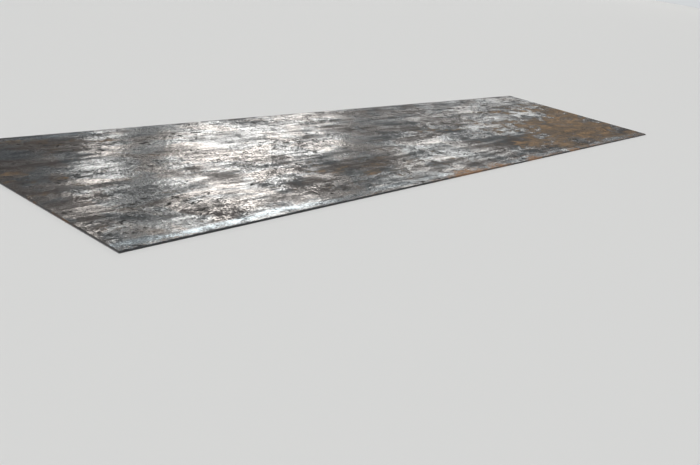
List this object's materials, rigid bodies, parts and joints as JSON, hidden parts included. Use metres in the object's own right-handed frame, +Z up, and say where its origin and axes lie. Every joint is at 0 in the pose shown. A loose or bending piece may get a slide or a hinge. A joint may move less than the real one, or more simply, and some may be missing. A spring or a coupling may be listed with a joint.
{
  "type": "steel plate",
  "caption": "Hot-rolled rectangular steel plate lying flat, with rounded mill edges along its length and sheared ends.",
  "frame": {"origin": "centre of the plate's lower face, which it lies on", "axes": "+X along the plate, +Y across it, +Z up through its thickness"},
  "size_m": [6, 1.5, 0.012],
  "materials": {
    "mill_scale": "hot-rolled mill scale, dark blue-grey and half glossy, with light rust"
  },
  "bodies": {
    "root": {"steel_plate": "mill_scale"}
  },
  "joints": []
}
